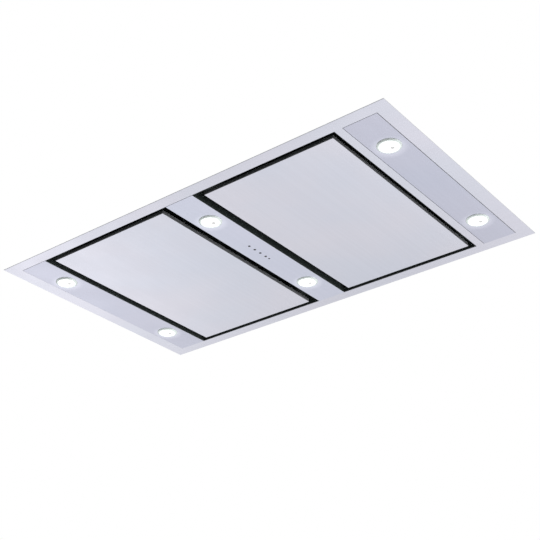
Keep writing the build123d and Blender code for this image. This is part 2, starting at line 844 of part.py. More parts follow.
def make_case():
    """The plenum's walls and top, the blower's cover, and the hanger brackets."""
    lid_fix = lid_screws()
    cover_fix = cover_screws()
    hanger_fix = hanger_screws()
    collar_fix = collar_screws()

    walls = []
    for side in (-1, 1):
        y0, y1 = span(side * frame_y1, side * (frame_y1 - sheet))
        walls.append(block(frame_x0, frame_x1, y0, y1, ledge_top, plenum_height))
        x0, x1 = span(side * frame_x1, side * (frame_x1 - sheet))
        walls.append(block(x0, x1, frame_y0 + sheet, frame_y1 - sheet, ledge_top, plenum_height))
    parts["plenum_walls"] = Compound([cut(wall, screw_holes(lid_fix)) for wall in walls])

    lid = block(
        frame_x0 - sheet,
        frame_x1 + sheet,
        frame_y0 - sheet,
        frame_y1 + sheet,
        plenum_height - lid_lip,
        plate_z,
    )
    lid = fillet(lid.edges().group_by(Axis.Z)[-1], folded())
    lid_low = plenum_height - lid_lip - past
    lid -= block(frame_x0, frame_x1, frame_y0, frame_y1, lid_low, plenum_height)
    mouth = inlet_radius + neck_clearance
    lid -= rod(wheel_x, wheel_y, plenum_height - past, plate_z + past, mouth)
    cover_x0 = wheel_x + cover_west - sheet - cover_foot
    for x in spread(frame_x0, cover_x0, bead_count + 2)[1:-1]:
        lid += make_bead(x)
    parts["plenum_lid"] = cut(lid, screw_holes(lid_fix + cover_fix + hanger_fix))

    x0, x1 = wheel_x + cover_west, wheel_x + cover_east
    y0, y1 = wheel_y + cover_south, wheel_y + cover_north
    cover = block(x0 - sheet, x1 + sheet, y0 - sheet, y1 + sheet, plate_z, cover_top_z)
    cover = fillet(cover.edges().filter_by(Axis.Z), 2 * sheet)
    cover = fillet(cover.edges().group_by(Axis.Z)[-1], folded())
    pad = block(
        x0 + pad_inset,
        x1 - pad_inset,
        y0 + pad_inset,
        y1 - pad_inset,
        cover_top_z - sheet,
        cover_top_z + bead_height,
    )
    pad = fillet(pad.edges().filter_by(Axis.Z), bead_width)
    cover += fillet(pad.edges().group_by(Axis.Z)[-1], 0.8 * bead_height)
    reach = sheet + cover_foot
    foot = block(x0 - reach, x1 + reach, y0 - reach, y1 + reach, plate_z, plate_z + sheet)
    cover += fillet(foot.edges().filter_by(Axis.Z), cover_foot / 2)
    cover -= block(x0, x1, y0, y1, plate_z - past, cover_top_z - sheet)
    cover -= rod_y(duct_x, duct_z, y1 - past, y1 + sheet + past, duct_radius - duct_wall)
    parts["blower_cover"] = cut(cover, screw_holes(cover_fix + collar_fix))

    parts["hanger_brackets"] = Compound(
        [cut(make_hanger(*place), screw_holes(hanger_fix)) for place in hanger_places()]
    )
    screws = lid_fix + cover_fix + hanger_fix + collar_fix
    parts["case_screws"] = Compound([screw_solid(screw) for screw in screws])
    make_outlet(collar_fix)


def cut(shape, tools):
    """A shape with the tools that reach it taken out."""
    box = shape.bounding_box()
    near = [t for t in tools if boxes_meet(box, t.bounding_box())]
    for tool in near:
        shape = shape - tool
    return shape


def boxes_meet(a, b):
    """Whether two bounding boxes meet."""
    return all(
        low <= high
        for low, high in (
            (a.min.X, b.max.X),
            (b.min.X, a.max.X),
            (a.min.Y, b.max.Y),
            (b.min.Y, a.max.Y),
            (a.min.Z, b.max.Z),
            (b.min.Z, a.max.Z),
        )
    )


# ---------------------------------------------------------------- outlet with its non-return flaps


def make_flap(side, knuckles):
    """Half a disc with its knuckles round the pin. side is the way it reaches along X."""
    y = cover_face_y + flap_seat
    radius = duct_radius - duct_wall - flap_play
    half = flap_thickness / 2
    start = flap_knuckle_radius + flap_web
    disc = rod_y(duct_x, duct_z, y - half, y + half, radius)
    x0, x1 = span(duct_x + side * start, duct_x + side * (radius + past))
    flap = disc & block(x0, x1, y - past, y + past, duct_z - radius - past, duct_z + radius + past)
    for z in knuckles:
        low = duct_z + z - flap_knuckle_length / 2
        high = duct_z + z + flap_knuckle_length / 2
        flap += rod(duct_x, y, low, high, flap_knuckle_radius)
        t0, t1 = span(duct_x, duct_x + side * (start + past))
        flap += block(t0, t1, y - half, y + half, low, high)
    bore = flap_pin_radius + pin_clearance
    return flap - rod(duct_x, y, duct_z - radius, duct_z + radius, bore)


def make_outlet(screws):
    """The round outlet collar, its two flaps and their pin."""
    y0 = cover_face_y
    inner = duct_radius - duct_wall
    collar = rod_y(duct_x, duct_z, y0, y0 + duct_length, duct_radius)
    collar += rod_y(duct_x, duct_z, y0, y0 + collar_sheet, duct_radius + collar_rim)
    collar -= rod_y(duct_x, duct_z, y0 - past, y0 + duct_length + past, inner)
    pin_y = y0 + flap_seat
    z0, z1 = duct_z - duct_radius, duct_z + duct_radius
    collar -= rod(duct_x, pin_y, z0 - past, z1 + past, flap_pin_radius + pin_clearance)
    parts["outlet_collar"] = cut(collar, screw_holes(screws))
    parts["flap_pin"] = rod(duct_x, pin_y, z0, z1, flap_pin_radius)
    step = flap_knuckle_step
    parts["flap_left"] = make_flap(-1, [1.5 * step, -0.5 * step])
    parts["flap_right"] = make_flap(1, [0.5 * step, -1.5 * step])


# ---------------------------------------------------------------- blower


def scroll_outline(wall):
    """The scroll's closed outline round the air, grown outwards by wall. The mouth opens towards +Y."""
    x, y = wheel_x, wheel_y
    c2 = x + scroll_step
    c3 = y + scroll_step
    r1, r2, r3 = arc_1 + wall, arc_2 + wall, arc_3 + wall
    tongue = tongue_radius - wall
    tongue_x = x + mouth_west - tongue_radius
    tongue_y = y + arc_1 + tongue_radius
    east = x + scroll_east + wall
    north = y + mouth_north
    root = math.sqrt(0.5)
    return (
        Line((x + mouth_west - wall, north), (x + mouth_west - wall, tongue_y))
        + ThreePointArc(
            (x + mouth_west - wall, tongue_y),
            (tongue_x + tongue * root, tongue_y - tongue * root),
            (tongue_x, tongue_y - tongue),
        )
        + Line((tongue_x, y + r1), (x, y + r1))
        + ThreePointArc((x, y + r1), (x - r1 * root, y + r1 * root), (x - r1, y))
        + ThreePointArc((x - r1, y), (c2 - r2 * root, y - r2 * root), (c2, y - r2))
        + ThreePointArc((c2, y - r2), (c2 + r3 * root, c3 - r3 * root), (c2 + r3, c3))
        + Line((east, c3), (east, north))
        + Line((east, north), (x + mouth_west - wall, north))
    )


def prism(outline, z0, z1):
    """An upright solid from a closed outline."""
    return Pos(0, 0, z0) * extrude(make_face(outline.edges()), z1 - z0, dir=(0, 0, 1))


def make_blade():
    """One forward-curved blade of the wheel, centred on the +X side of its axis."""
    outer = wheel_radius - blade_inset
    inner = outer - blade_depth
    sweep = math.radians(blade_sweep)
    start = (inner, 0)
    end = (outer * math.cos(sweep), outer * math.sin(sweep))
    reach = (inner + outer) / 2
    lean = 0.25 * sweep
    middle = (reach * math.cos(lean), reach * math.sin(lean))
    curve = ThreePointArc(start, middle, end)
    return trace(curve, blade_thickness)


def make_cage(blade, side):
    """The blades on one side of the wheel's disc, with the ring that ties their outer ends."""
    rise = (wheel_z1 - wheel_z0 - disc_thickness) / 2
    cage = [Rot(0, 0, 360 * i / blade_count) * blade for i in range(blade_count)]
    inner = wheel_radius - blade_inset - blade_depth - ring_overlap
    ring = rod(0, 0, rise - wheel_ring, rise, wheel_radius)
    ring -= rod(0, 0, rise - wheel_ring - past, rise + past, inner)
    cage = Pos(0, 0, disc_thickness / 2) * (ring + cage)
    return cage if side > 0 else mirror(cage, about=Plane.XY)


def make_wheel():
    """The blower wheel: a disc with its hub, and a cage of blades on each side of it."""
    half = disc_thickness / 2
    disc = rod(0, 0, -half, half, wheel_radius)
    disc += rod(0, 0, -hub_height / 2, hub_height / 2, hub_radius)
    disc -= rod(0, 0, -hub_height, hub_height, shaft_radius + shaft_fit)
    hole = rod(disc_hole_place, 0, -disc_thickness, disc_thickness, disc_hole_radius)
    disc -= [Rot(0, 0, 360 * i / disc_hole_count) * hole for i in range(disc_hole_count)]
    rise = (wheel_z1 - wheel_z0 - disc_thickness) / 2
    blade = extrude(make_blade(), rise, dir=(0, 0, 1))
    return Compound([disc, make_cage(blade, -1), make_cage(blade, 1)])


def make_motor(bore_top):
    """The motor's ribbed casting, which hangs from the scroll's lid into the wheel."""
    motor = rod(0, 0, motor_z0, scroll_top_z, motor_radius)
    motor = fillet(lowest_edges(motor), motor_round)
    half = motor_rib_width / 2
    x1 = motor_radius + motor_rib_height
    rib = block(motor_radius - past, x1, -half, half, motor_z0 + motor_rib_start, scroll_top_z)
    motor = motor + [Rot(0, 0, 360 * i / motor_rib_count) * rib for i in range(motor_rib_count)]
    flange = motor_radius + motor_flange
    motor += rod(0, 0, scroll_top_z - motor_flange_thickness, scroll_top_z, flange)
    return motor - rod(0, 0, motor_z0 - past, bore_top, shaft_radius + part_clearance)


def make_inlet_ring():
    """The ring that leads the air up through the plenum's top into the wheel."""
    neck = inlet_radius
    low = plenum_height - sheet
    return turned(
        Polyline(
            (neck - inlet_wall, low),
            (neck + inlet_flange, low),
            (neck + inlet_flange, plenum_height),
            (neck, plenum_height),
            (neck, inlet_top),
            (neck - inlet_wall, inlet_top),
            close=True,
        )
    )


def make_blower():
    """The scroll, the wheel with its shaft, and the motor that hangs in the wheel."""
    outer = prism(scroll_outline(sheet), plate_z, scroll_top_z)
    inner = prism(scroll_outline(0), plate_z - past, scroll_top_z + past)
    mouth = block(
        wheel_x + mouth_west,
        wheel_x + scroll_east,
        wheel_y + mouth_north - past,
        wheel_y + mouth_north + past,
        plate_z - past,
        scroll_top_z + past,
    )
    parts["scroll_wrap"] = outer - inner - mouth
    parts["scroll_lid"] = prism(scroll_outline(sheet), scroll_top_z, scroll_top_z + sheet)
    axis = Pos(wheel_x, wheel_y, 0)
    bore_top = motor_z0 + motor_bore_depth
    parts["inlet_ring"] = axis * make_inlet_ring()
    parts["blower_wheel"] = axis * Pos(0, 0, disc_z) * make_wheel()
    parts["motor_shaft"] = rod(wheel_x, wheel_y, hub_z0, bore_top - past, shaft_radius)
    parts["motor"] = axis * make_motor(bore_top)


# ---------------------------------------------------------------- mains box


def make_mains_box():
    """The electrical box beside the blower, with its lid, capacitor, terminals and cable gland."""
    y0, y1 = -box_width / 2, box_width / 2
    top = plate_z + box_height
    wall = box_wall
    box = block(box_x0, box_x1, y0, y1, plate_z, top)
    box = fillet(box.edges().filter_by(Axis.Z), 2 * wall)
    box -= block(box_x0 + wall, box_x1 - wall, y0 + wall, y1 - wall, plate_z + wall, top + past)
    gland_z = plate_z + box_height / 2
    thread = gland_thread_radius + part_clearance
    hole = rod_x(0, gland_z, box_x1 - wall - past, box_x1 + past, thread)
    parts["mains_box"] = box - hole
    lid = block(box_x0, box_x1, y0, y1, top, top + wall)
    lid = fillet(lid.edges().filter_by(Axis.Z), 2 * wall)
    inner = wall + running_gap
    low = top - box_lip
    lip = block(box_x0 + inner, box_x1 - inner, y0 + inner, y1 - inner, low, top)
    inner += wall
    lip -= block(box_x0 + inner, box_x1 - inner, y0 + inner, y1 - inner, low - past, top + past)
    parts["mains_box_lid"] = lid + lip
    floor = plate_z + wall
    start = box_x0 + capacitor_start
    cap_y = y0 + wall + capacitor_radius + capacitor_inset
    capacitor = rod_x(
        cap_y, floor + capacitor_radius, start, start + capacitor_length, capacitor_radius
    )
    parts["capacitor"] = fillet(capacitor.edges().filter_by(GeomType.CIRCLE), capacitor_round)
    end = box_x1 - wall - terminal_end
    start = end - terminal_length
    block_y = y1 - wall - terminal_inset
    rim = floor + terminal_height
    terminals = block(start, end, block_y - terminal_width, block_y, floor, rim)
    for i in range(terminal_count):
        x = start + terminal_length * (i + 0.5) / terminal_count
        y = block_y - terminal_width / 2
        terminals -= rod(x, y, rim - terminal_hole_depth, rim + past, terminal_hole_radius)
    parts["terminal_block"] = terminals
    head = rod_x(0, gland_z, box_x1, box_x1 + gland_length - gland_nut, gland_head_radius)
    head = chamfer(head.edges().group_by(Axis.X)[-1], gland_taper)
    gland = head + rod_x(0, gland_z, box_x1 - wall - gland_nut, box_x1, gland_thread_radius)
    nut = rod_x(0, gland_z, box_x1 - wall - gland_nut, box_x1 - wall, gland_head_radius)
    bore = rod_x(0, gland_z, box_x1 - gland_length, box_x1 + gland_length, gland_bore_radius)
    parts["cable_gland"] = gland + nut - bore


# ---------------------------------------------------------------- the whole hood

make_face_pieces()
make_panels()
make_filters()
make_lamps()
make_controls()
make_case()
make_blower()
make_mains_box()

os.makedirs("parts", exist_ok=True)
for name, shape in parts.items():
    export_step(shape, f"parts/{name}.step")

print(f"{len(parts)} parts, face {length:.1f} x {width:.1f} mm, top at {cover_top_z:.1f} mm")
print(f"wheel axis ({wheel_x:.1f}, {wheel_y:.1f}), scroll step {scroll_step:.1f} mm")
print(f"outlet axis x {duct_x:.1f}, z {duct_z:.1f}, from y {cover_face_y:.1f} mm")
print(f"pivots z {pivot_z:.1f}, x {pivot_x(bays['left']):.1f} and {pivot_x(bays['right']):.1f} mm")
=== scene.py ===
# %% [markdown]
# # A ceiling range hood
#
# The hood hangs in a cut-out of a kitchen ceiling. From below a cook sees a flat steel face: a flange,
# two large panels with a black suction gap round each, three strips with lamps, and four push buttons.
# Above the ceiling sits the galvanised case with its blower, outlet and mains box.
#
# The shapes of all rigid pieces come from a CAD model, which is loaded as a fixed frame. This script
# gives every piece its finish, builds the pieces that CAD leaves plain, and sets up camera and light.
# Everything is in metres: +X along the hood, +Y towards the outlet, +Z up into the ceiling void.

# %% Load the CAD model
import json
import math

import bmesh
import bpy
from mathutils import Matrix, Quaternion, Vector


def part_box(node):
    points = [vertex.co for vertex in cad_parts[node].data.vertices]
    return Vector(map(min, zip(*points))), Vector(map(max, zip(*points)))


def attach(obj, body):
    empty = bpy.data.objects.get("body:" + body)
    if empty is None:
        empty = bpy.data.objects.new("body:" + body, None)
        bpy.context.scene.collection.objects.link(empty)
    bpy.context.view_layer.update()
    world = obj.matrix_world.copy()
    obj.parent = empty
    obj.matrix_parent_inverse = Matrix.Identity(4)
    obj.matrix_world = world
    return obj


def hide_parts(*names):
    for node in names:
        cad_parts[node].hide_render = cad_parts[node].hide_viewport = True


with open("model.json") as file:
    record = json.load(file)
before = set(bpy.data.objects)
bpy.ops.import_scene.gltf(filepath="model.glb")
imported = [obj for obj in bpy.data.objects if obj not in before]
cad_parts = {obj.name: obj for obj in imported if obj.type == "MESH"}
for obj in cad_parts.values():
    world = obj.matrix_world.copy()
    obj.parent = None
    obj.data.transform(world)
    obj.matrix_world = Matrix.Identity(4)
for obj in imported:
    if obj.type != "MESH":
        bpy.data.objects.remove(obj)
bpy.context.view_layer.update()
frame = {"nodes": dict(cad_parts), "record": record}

MM = 0.001
nodes = frame["nodes"]
scene = bpy.context.scene
scene.view_settings.view_transform = "Standard"

# %% [markdown]
# ## Camera
#
# The photograph is a product shot from below: the camera looks up at the ceiling from the near right.
# Its place was worked out from the four corners of the flange, so it is kept as a real place in metres.
# The camera is aimed at one point of the ceiling, and then rolled by a fraction of a degree.

# %% Place the camera
camera_place = Vector((1.5405, -1.9387, -1.4073))
camera_aim = Vector((-0.0446, 0.0914, 0.0))
camera_roll = -0.15  # degrees

camera_data = bpy.data.cameras.new("camera")
camera_data.lens = 73.3
camera_data.sensor_width = 36.0
camera_data.clip_end = 60.0
camera = bpy.data.objects.new("camera", camera_data)
camera.location = camera_place
camera.rotation_mode = "QUATERNION"
towards = (camera_aim - camera_place).to_track_quat("-Z", "Y")
camera.rotation_quaternion = towards @ Quaternion((0, 0, 1), math.radians(camera_roll))
scene.collection.objects.link(camera)
scene.camera = camera
print("camera is", round((camera_aim - camera_place).length, 2), "m from the ceiling it looks at")

# %% [markdown]
# ## Helpers for shader nodes
#
# Materials here are written as code, so a few small helpers keep them readable. One adds a node, sets
# its options, and either links or fills its inputs. The next ones are short names for the few kinds of
# node that come up again and again. Colours are written as they look on a screen, from 0 to 255, and
# turned into the linear values that a shader works with.


# %% Node helpers
def add(tree, kind, inputs=None, **options):
    """A new node. inputs holds plain values, or sockets of other nodes to link from."""
    made = tree.nodes.new(kind)
    for option, value in options.items():
        setattr(made, option, value)  # before the inputs, because some options make the inputs
    for place, value in (inputs or {}).items():
        if isinstance(value, bpy.types.NodeSocket):
            tree.links.new(value, made.inputs[place])
        else:
            made.inputs[place].default_value = value
    return made


def combine(tree, operation, *values):
    """The socket of several values added, multiplied and so on, one after another."""
    result = values[0]
    for value in values[1:]:
        result = add(tree, "ShaderNodeMath", {0: result, 1: value}, operation=operation).outputs[0]
    return result


def scaled(tree, value, factor, added):
    """The socket of a value times a factor, plus something."""
    inputs = {0: value, 1: factor, 2: added}
    return add(tree, "ShaderNodeMath", inputs, operation="MULTIPLY_ADD").outputs[0]


def spread(tree, value, start, end, low=0.0, high=1.0, curve="LINEAR"):
    """The socket of a value that goes straight from low at start to high at end."""
    inputs = {0: value, 1: start, 2: end, 3: low, 4: high}
    return add(tree, "ShaderNodeMapRange", inputs, interpolation_type=curve).outputs[0]


def ramp(tree, value, start, end, low=0.0, high=1.0):
    """The same, but eased at both ends."""
    return spread(tree, value, start, end, low, high, "SMOOTHSTEP")


def blend(tree, factor, first, second):
    """The socket of a colour between two others."""
    inputs = {0: factor, 6: first, 7: second}
    return add(tree, "ShaderNodeMix", inputs, data_type="RGBA").outputs[2]


def blend_shaders(tree, factor, first, second):
    """The socket of a shader between two others."""
    return add(tree, "ShaderNodeMixShader", {0: factor, 1: first, 2: second}).outputs[0]


def height_of(tree, vector):
    """The socket of a vector's Z, as a size without its sign."""
    signed = add(tree, "ShaderNodeSeparateXYZ", {0: vector}).outputs["Z"]
    return add(tree, "ShaderNodeMath", {0: signed}, operation="ABSOLUTE").outputs[0]


def shade(red, green, blue):
    """A colour as it looks on a screen, 0 to 255, as linear values."""
    parts = [c / 255 for c in (red, green, blue)]
    linear = [c / 12.92 if c <= 0.04045 else ((c + 0.055) / 1.055) ** 2.4 for c in parts]
    return (*linear, 1.0)


white = shade(255, 255, 255)


# %% [markdown]
# ## The ceiling, the floor and the light
#
# A hood like this is mostly hidden: the ceiling covers its case. So the stage is one large sheet level
# with the flange, with a cut-out of the flange's own size. Seen from below, the sheet is the white of
# the photograph's background and hides the case. Seen from above, it is a pale surface that takes the
# case's shadow, and the whole hood shows. A floor further down is what the steel face mirrors.
#
# The sheet starts as the flange's outline. Its edges are extruded outwards and the first face is
# deleted, which leaves a frame.

# %% Build the ceiling and the floor
flange_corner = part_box("face_frame")[1]
sheet_z = -0.5 * MM  # between the flange's lower and upper face
sheet_reach = 12.0
floor_z = -2.2
floor_reach = 9.0


def stage_object(name, mesh):
    """An object of the stage from a bmesh."""
    data = bpy.data.meshes.new(name)
    mesh.to_mesh(data)
    mesh.free()
    made = bpy.data.objects.new(name, data)
    scene.collection.objects.link(made)
    return made


mesh = bmesh.new()
bmesh.ops.create_grid(mesh, x_segments=1, y_segments=1, size=1.0)
for vert in mesh.verts:
    vert.co = (vert.co.x * flange_corner.x, vert.co.y * flange_corner.y, sheet_z)
inner = list(mesh.faces)
outer = bmesh.ops.extrude_edge_only(mesh, edges=mesh.edges)["geom"]
for vert in outer:
    if isinstance(vert, bmesh.types.BMVert):
        vert.co = (math.copysign(sheet_reach, vert.co.x), math.copysign(sheet_reach, vert.co.y), sheet_z)
bmesh.ops.delete(mesh, geom=inner, context="FACES_ONLY")
for face in mesh.faces:
    if face.normal.z < 0:
        face.normal_flip()
ceiling = stage_object("ceiling", mesh)

mesh = bmesh.new()
bmesh.ops.create_grid(mesh, x_segments=1, y_segments=1, size=floor_reach)
bmesh.ops.translate(mesh, verts=mesh.verts, vec=(0, 0, floor_z))
floor = stage_object("floor", mesh)
print("cut-out in the ceiling:", [round(2 * reach, 3) for reach in flange_corner.xy], "m")

# %% [markdown]
# The ceiling's underside is plain white to the camera and to mirrored rays, and an ordinary pale surface
# to all others. The Backfacing output says which side is seen. The upper side fades to white far away,
# so that no horizon line shows behind the hood.

# %% Paint the ceiling
fade_start = 1.3
fade_end = 3.2


def new_material(name):
    """A material and its empty node tree."""
    made = bpy.data.materials.new(name)
    made.use_nodes = True
    made.node_tree.nodes.clear()
    return made, made.node_tree


def seen_rays(tree):
    """The socket that is 1 for rays from the camera, from a mirror and through glass."""
    path = add(tree, "ShaderNodeLightPath").outputs
    kinds = ("Is Camera Ray", "Is Glossy Ray", "Is Transmission Ray")
    return combine(tree, "MAXIMUM", *(path[kind] for kind in kinds))


def matt_or_glowing(tree, paint, strength, factor):
    """End a stage material: matt paint where the factor is 0, and a white glow where it is 1."""
    matt = add(tree, "ShaderNodeBsdfDiffuse", {"Color": paint}).outputs[0]
    glow = add(tree, "ShaderNodeEmission", {"Color": white, "Strength": strength}).outputs[0]
    add(tree, "ShaderNodeOutputMaterial", {0: blend_shaders(tree, factor, matt, glow)})


ceiling_white, tree = new_material("ceiling white")
below = add(tree, "ShaderNodeNewGeometry").outputs["Backfacing"]
place = add(tree, "ShaderNodeTexCoord").outputs["Object"]
distance = add(tree, "ShaderNodeVectorMath", {0: place}, operation="LENGTH").outputs["Value"]
far = ramp(tree, distance, fade_start, fade_end)
whiter = combine(tree, "MAXIMUM", below, far)
factor = combine(tree, "MULTIPLY", whiter, seen_rays(tree))
matt_or_glowing(tree, shade(238, 238, 238), 1.0, factor)
ceiling.data.materials.append(ceiling_white)
print("the ceiling fades to white from", fade_start, "to", fade_end, "m")

# %% [markdown]
# Satin steel has almost no colour of its own: what it shows is a blurred mirror image of the room. In
# the photograph the face is brighter at both ends than in the middle, brightest at the left end, and a
# little darker towards the far edge. So the floor shows mirrored rays two slopes of light, left and right
# of a calmer middle, and a round soft patch on the left. Walls that face the viewer mirror the near part
# of the floor, which is darker. The slopes and the patch stand for a kitchen that isn't known: they were
# set by comparing levels with the photograph.

# %% Paint the floor
middle_glow = 1.005
left_glow = 0.32
left_slope = (-2.2, -4.5)
right_glow = 0.30
right_slope = (-1.7, -0.3)
far_loss = 0.22
far_slope = (1.9, 4.4)
near_glow = 0.08
near_slope = (1.1, -0.7)
patch_glow = 0.55
patch_place = Vector((-3.6, 2.1, floor_z))
patch_reach = 1.35

floor_pale, tree = new_material("floor pale")
place = add(tree, "ShaderNodeTexCoord").outputs["Object"]
across = add(tree, "ShaderNodeSeparateXYZ", {0: place}).outputs
left = ramp(tree, across["X"], *left_slope, 0.0, left_glow)
right = ramp(tree, across["X"], *right_slope, 0.0, right_glow)
far = ramp(tree, across["Y"], *far_slope, middle_glow, middle_glow - far_loss)
away = add(tree, "ShaderNodeVectorMath", {0: place, 1: patch_place}, operation="DISTANCE")
patch = ramp(tree, away.outputs["Value"], patch_reach, 0.0, 0.0, patch_glow)
near = ramp(tree, across["Y"], *near_slope, 1.0, near_glow)
strength = combine(tree, "MULTIPLY", combine(tree, "ADD", left, right, far, patch), near)
matt_or_glowing(tree, shade(225, 225, 226), strength, seen_rays(tree))
floor.data.materials.append(floor_pale)
print("the floor lies", -floor_z, "m below the hood, its soft patch at", patch_place[:2])

# %% [markdown]
# The world is a white studio. The camera sees it as pure white. As light it is softer, and mirrored
# rays see it darker near the horizon, which gives the case's metal its shape. Four area lamps add
# direction: a key and a fill above the ceiling, one low at the far right that grazes the black linings
# of the gaps, and a wide weak one close to the floor. Satin metal would show the lamps as burnt-out
# spots, so they light matt surfaces only, and metal mirrors the softer world and floor instead.

# %% Light the scene
world_light = 0.55
horizon_glow = 0.42
zenith_glow = 0.92
case_middle = Vector((0.0, 0.0, 0.1))
face_middle = Vector((0.0, 0.0, 0.0))

world = bpy.data.worlds.new("studio")
scene.world = world
world.use_nodes = True
tree = world.node_tree
tree.nodes.clear()


def background(colour, strength):
    """The socket of one look of the world."""
    return add(tree, "ShaderNodeBackground", {"Color": colour, "Strength": strength}).outputs[0]


path = add(tree, "ShaderNodeLightPath").outputs
rise = height_of(tree, add(tree, "ShaderNodeTexCoord").outputs["Generated"])
mirrored = background(white, spread(tree, rise, 0.0, 1.0, horizon_glow, zenith_glow))
light = background(shade(252, 253, 255), world_light)
rays = combine(tree, "MAXIMUM", path["Is Glossy Ray"], path["Is Transmission Ray"])
unseen = blend_shaders(tree, rays, light, mirrored)
look = blend_shaders(tree, path["Is Camera Ray"], unseen, background(white, 1.0))
add(tree, "ShaderNodeOutputWorld", {0: look})


def area_lamp(name, place, aim, size, power):
    """A square softbox aimed at a point."""
    data = bpy.data.lights.new(name, "AREA")
    data.size = size
    data.energy = power
    made = bpy.data.objects.new(name, data)
    made.location = place
    made.rotation_euler = (aim - Vector(place)).to_track_quat("-Z", "Y").to_euler()
    made.visible_glossy = False
    scene.collection.objects.link(made)


area_lamp("key_above", (2.3, -1.9, 2.6), case_middle, size=1.4, power=75.0)
area_lamp("fill_above", (-2.6, 1.2, 2.2), case_middle, size=2.2, power=30.0)
area_lamp("graze_below", (2.4, 1.6, -1.2), face_middle, size=1.4, power=30.0)
area_lamp("fill_below", (0.0, 0.3, -2.0), face_middle, size=2.4, power=24.0)

# %% [markdown]
# ## Effects that several finishes share
#
# An effect that more than one finish uses is a node group: it is built once, takes a place on the piece
# and gives heights, tones or masks, and each finish uses them in its own way.
#
# Brushed steel is made by sanding a sheet in one direction. Its grain is very long and very narrow, so a
# noise texture is squeezed: a few units per metre along the grain, over a thousand across it. A second,
# coarser layer of streaks shows from further away. The grain runs along the input vector's X, and a
# material turns it with a Mapping node.


# %% Grain of brushed steel
def new_group(name, takes, gives):
    """A node group. takes names its inputs and their kinds, gives names its outputs."""
    group = bpy.data.node_groups.new(name, "ShaderNodeTree")
    for label, kind in takes.items():
        group.interface.new_socket(label, in_out="INPUT", socket_type="NodeSocket" + kind)
    for label in gives:
        group.interface.new_socket(label, in_out="OUTPUT", socket_type="NodeSocketFloat")
    given = group.nodes.new("NodeGroupInput").outputs
    result = group.nodes.new("NodeGroupOutput").inputs
    return group, given, result


def noise(tree, place, scale, detail, roughness=0.5):
    """The output sockets of a noise texture."""
    inputs = {"Vector": place, "Scale": scale, "Detail": detail, "Roughness": roughness}
    return add(tree, "ShaderNodeTexNoise", inputs).outputs


grain, given, result = new_group("brushed grain", {"Vector": "Vector"}, ["Height", "Streak"])
for label, squeeze, detail in (("Height", (7, 1300, 1300), 2.0), ("Streak", (1.6, 130, 130), 4.0)):
    inputs = {0: given["Vector"], 1: squeeze}
    squeezed = add(grain, "ShaderNodeVectorMath", inputs, operation="MULTIPLY").outputs[0]
    grain.links.new(noise(grain, squeezed, 1.0, detail)[0], result[label])

# %% [markdown]
# No real sheet is one even tone. Rolling, handling and cleaning leave large soft patches that are a
# little lighter or duller. This group gives such patches at a chosen size.

# %% Soft patches
sized_place = {"Vector": "Vector", "Scale": "Float"}
cloud_range = (0.3, 0.7)

patches, given, result = new_group("soft patches", sized_place, ["Mask"])
clouds = noise(patches, given["Vector"], given["Scale"], 3.0, 0.45)[0]
patches.links.new(ramp(patches, clouds, *cloud_range), result["Mask"])

# %% [markdown]
# The case is galvanised: dipped in zinc, which freezes in flat crystals called spangle. A Voronoi
# texture has the right cells. Each cell gets its own tone and its own gloss, its border shows as a faint
# line, and a fine noise inside the cells stands for the frosted zinc.

# %% Spangle of galvanised sheet
border_width = 0.05
push = (0.006, 0.006, 0.006)

spangle, given, result = new_group("zinc spangle", sized_place, ["Tone", "Border", "Frost"])
warp = noise(spangle, given["Vector"], 90.0, 2.0)["Color"]
inputs = {0: warp, 1: push, 2: given["Vector"]}
pushed = add(spangle, "ShaderNodeVectorMath", inputs, operation="MULTIPLY_ADD").outputs[0]
inputs = {"Vector": pushed, "Scale": given["Scale"]}
cells = add(spangle, "ShaderNodeTexVoronoi", inputs)
tone = add(spangle, "ShaderNodeSeparateXYZ", {0: cells.outputs["Color"]})
spangle.links.new(tone.outputs["X"], result["Tone"])
edges = add(spangle, "ShaderNodeTexVoronoi", inputs, feature="DISTANCE_TO_EDGE")
border = spread(spangle, edges.outputs["Distance"], 0.0, border_width, 1.0, 0.0)
spangle.links.new(border, result["Border"])
spangle.links.new(noise(spangle, given["Vector"], 600.0, 3.0)[0], result["Frost"])

# %% [markdown]
# Moulded plastic and powder coat share a fine pebbled skin. One group gives its height, and a slow
# change of tone from the way the plastic flowed into the mould.

# %% Pebbled skin
pebble, given, result = new_group("pebbled skin", sized_place, ["Height", "Tone"])
fine = noise(pebble, given["Vector"], given["Scale"], 2.0)[0]
slow = noise(pebble, given["Vector"], 14.0, 2.0)[0]
pebble.links.new(fine, result["Height"])
pebble.links.new(slow, result["Tone"])

# %% [markdown]
# A case in a ceiling void is never quite clean. Dust settles on faces that look up, more in some places
# than in others. The group takes the face's upward share and a place, and gives where dust lies.

# %% Dust
drift_range = (0.38, 0.78)
upward_range = (0.7, 0.95)

dust, given, result = new_group("settled dust", {"Vector": "Vector", "Upward": "Float"}, ["Mask"])
drift = noise(dust, given["Vector"], 5.0, 6.0, 0.6)[0]
lies = spread(dust, drift, *drift_range)
upward = spread(dust, given["Upward"], *upward_range)
dust.links.new(combine(dust, "MULTIPLY", lies, upward), result["Mask"])
print("shared effects:", sorted(g.name for g in bpy.data.node_groups))

# %% [markdown]
# ## Building a finish
#
# Nearly every finish below goes the same way. It takes a place on the piece from Object coordinates,
# feeds it into the shared effects, mixes colour and roughness from what they give, and ends with one
# shader. The helpers of this cell stand for these steps. One more tells walls from level faces by the
# piece's own normals, so it holds when a panel swings.

# %% Helpers for finishes
wall_range = (0.9, 0.3)  # how level a face is where walls start, and where they are full


